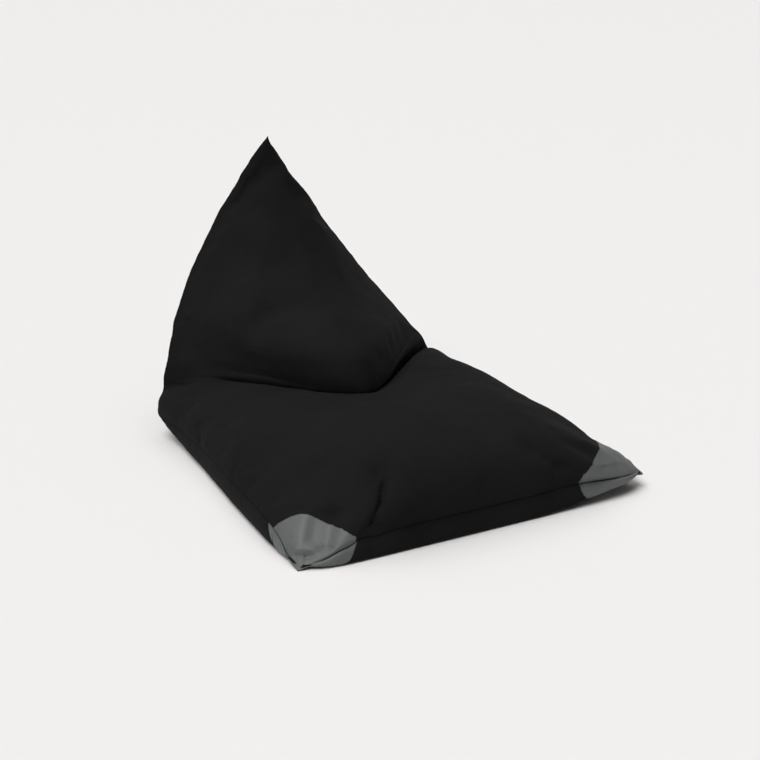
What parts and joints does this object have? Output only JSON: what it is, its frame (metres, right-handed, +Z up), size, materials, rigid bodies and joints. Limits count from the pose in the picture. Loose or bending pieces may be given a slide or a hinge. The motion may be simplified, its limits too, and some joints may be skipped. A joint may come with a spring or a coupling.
{
  "type": "outdoor pouf",
  "caption": "Low bean-filled outdoor pouf of black cloth with a broad flat seat, a pointed leaning back and grey patches round its front corners.",
  "frame": {"origin": "on the floor under the middle of the whole bag's box", "axes": "+X along the front edge to the lifted front corner, which is on the right for someone facing the front; +Y from the front edge to the back; +Z up"},
  "size_m": [1.0596, 1.4326, 0.85],
  "materials": {
    "black_fabric": "matt tightly woven coated outdoor cloth",
    "grey_fabric": "slightly silky coated outdoor cloth"
  },
  "bodies": {
    "root": {"bag": "black_fabric", "left_upper_patch": "grey_fabric", "left_lower_patch": "grey_fabric", "right_upper_patch": "grey_fabric", "right_lower_patch": "grey_fabric"}
  },
  "joints": []
}
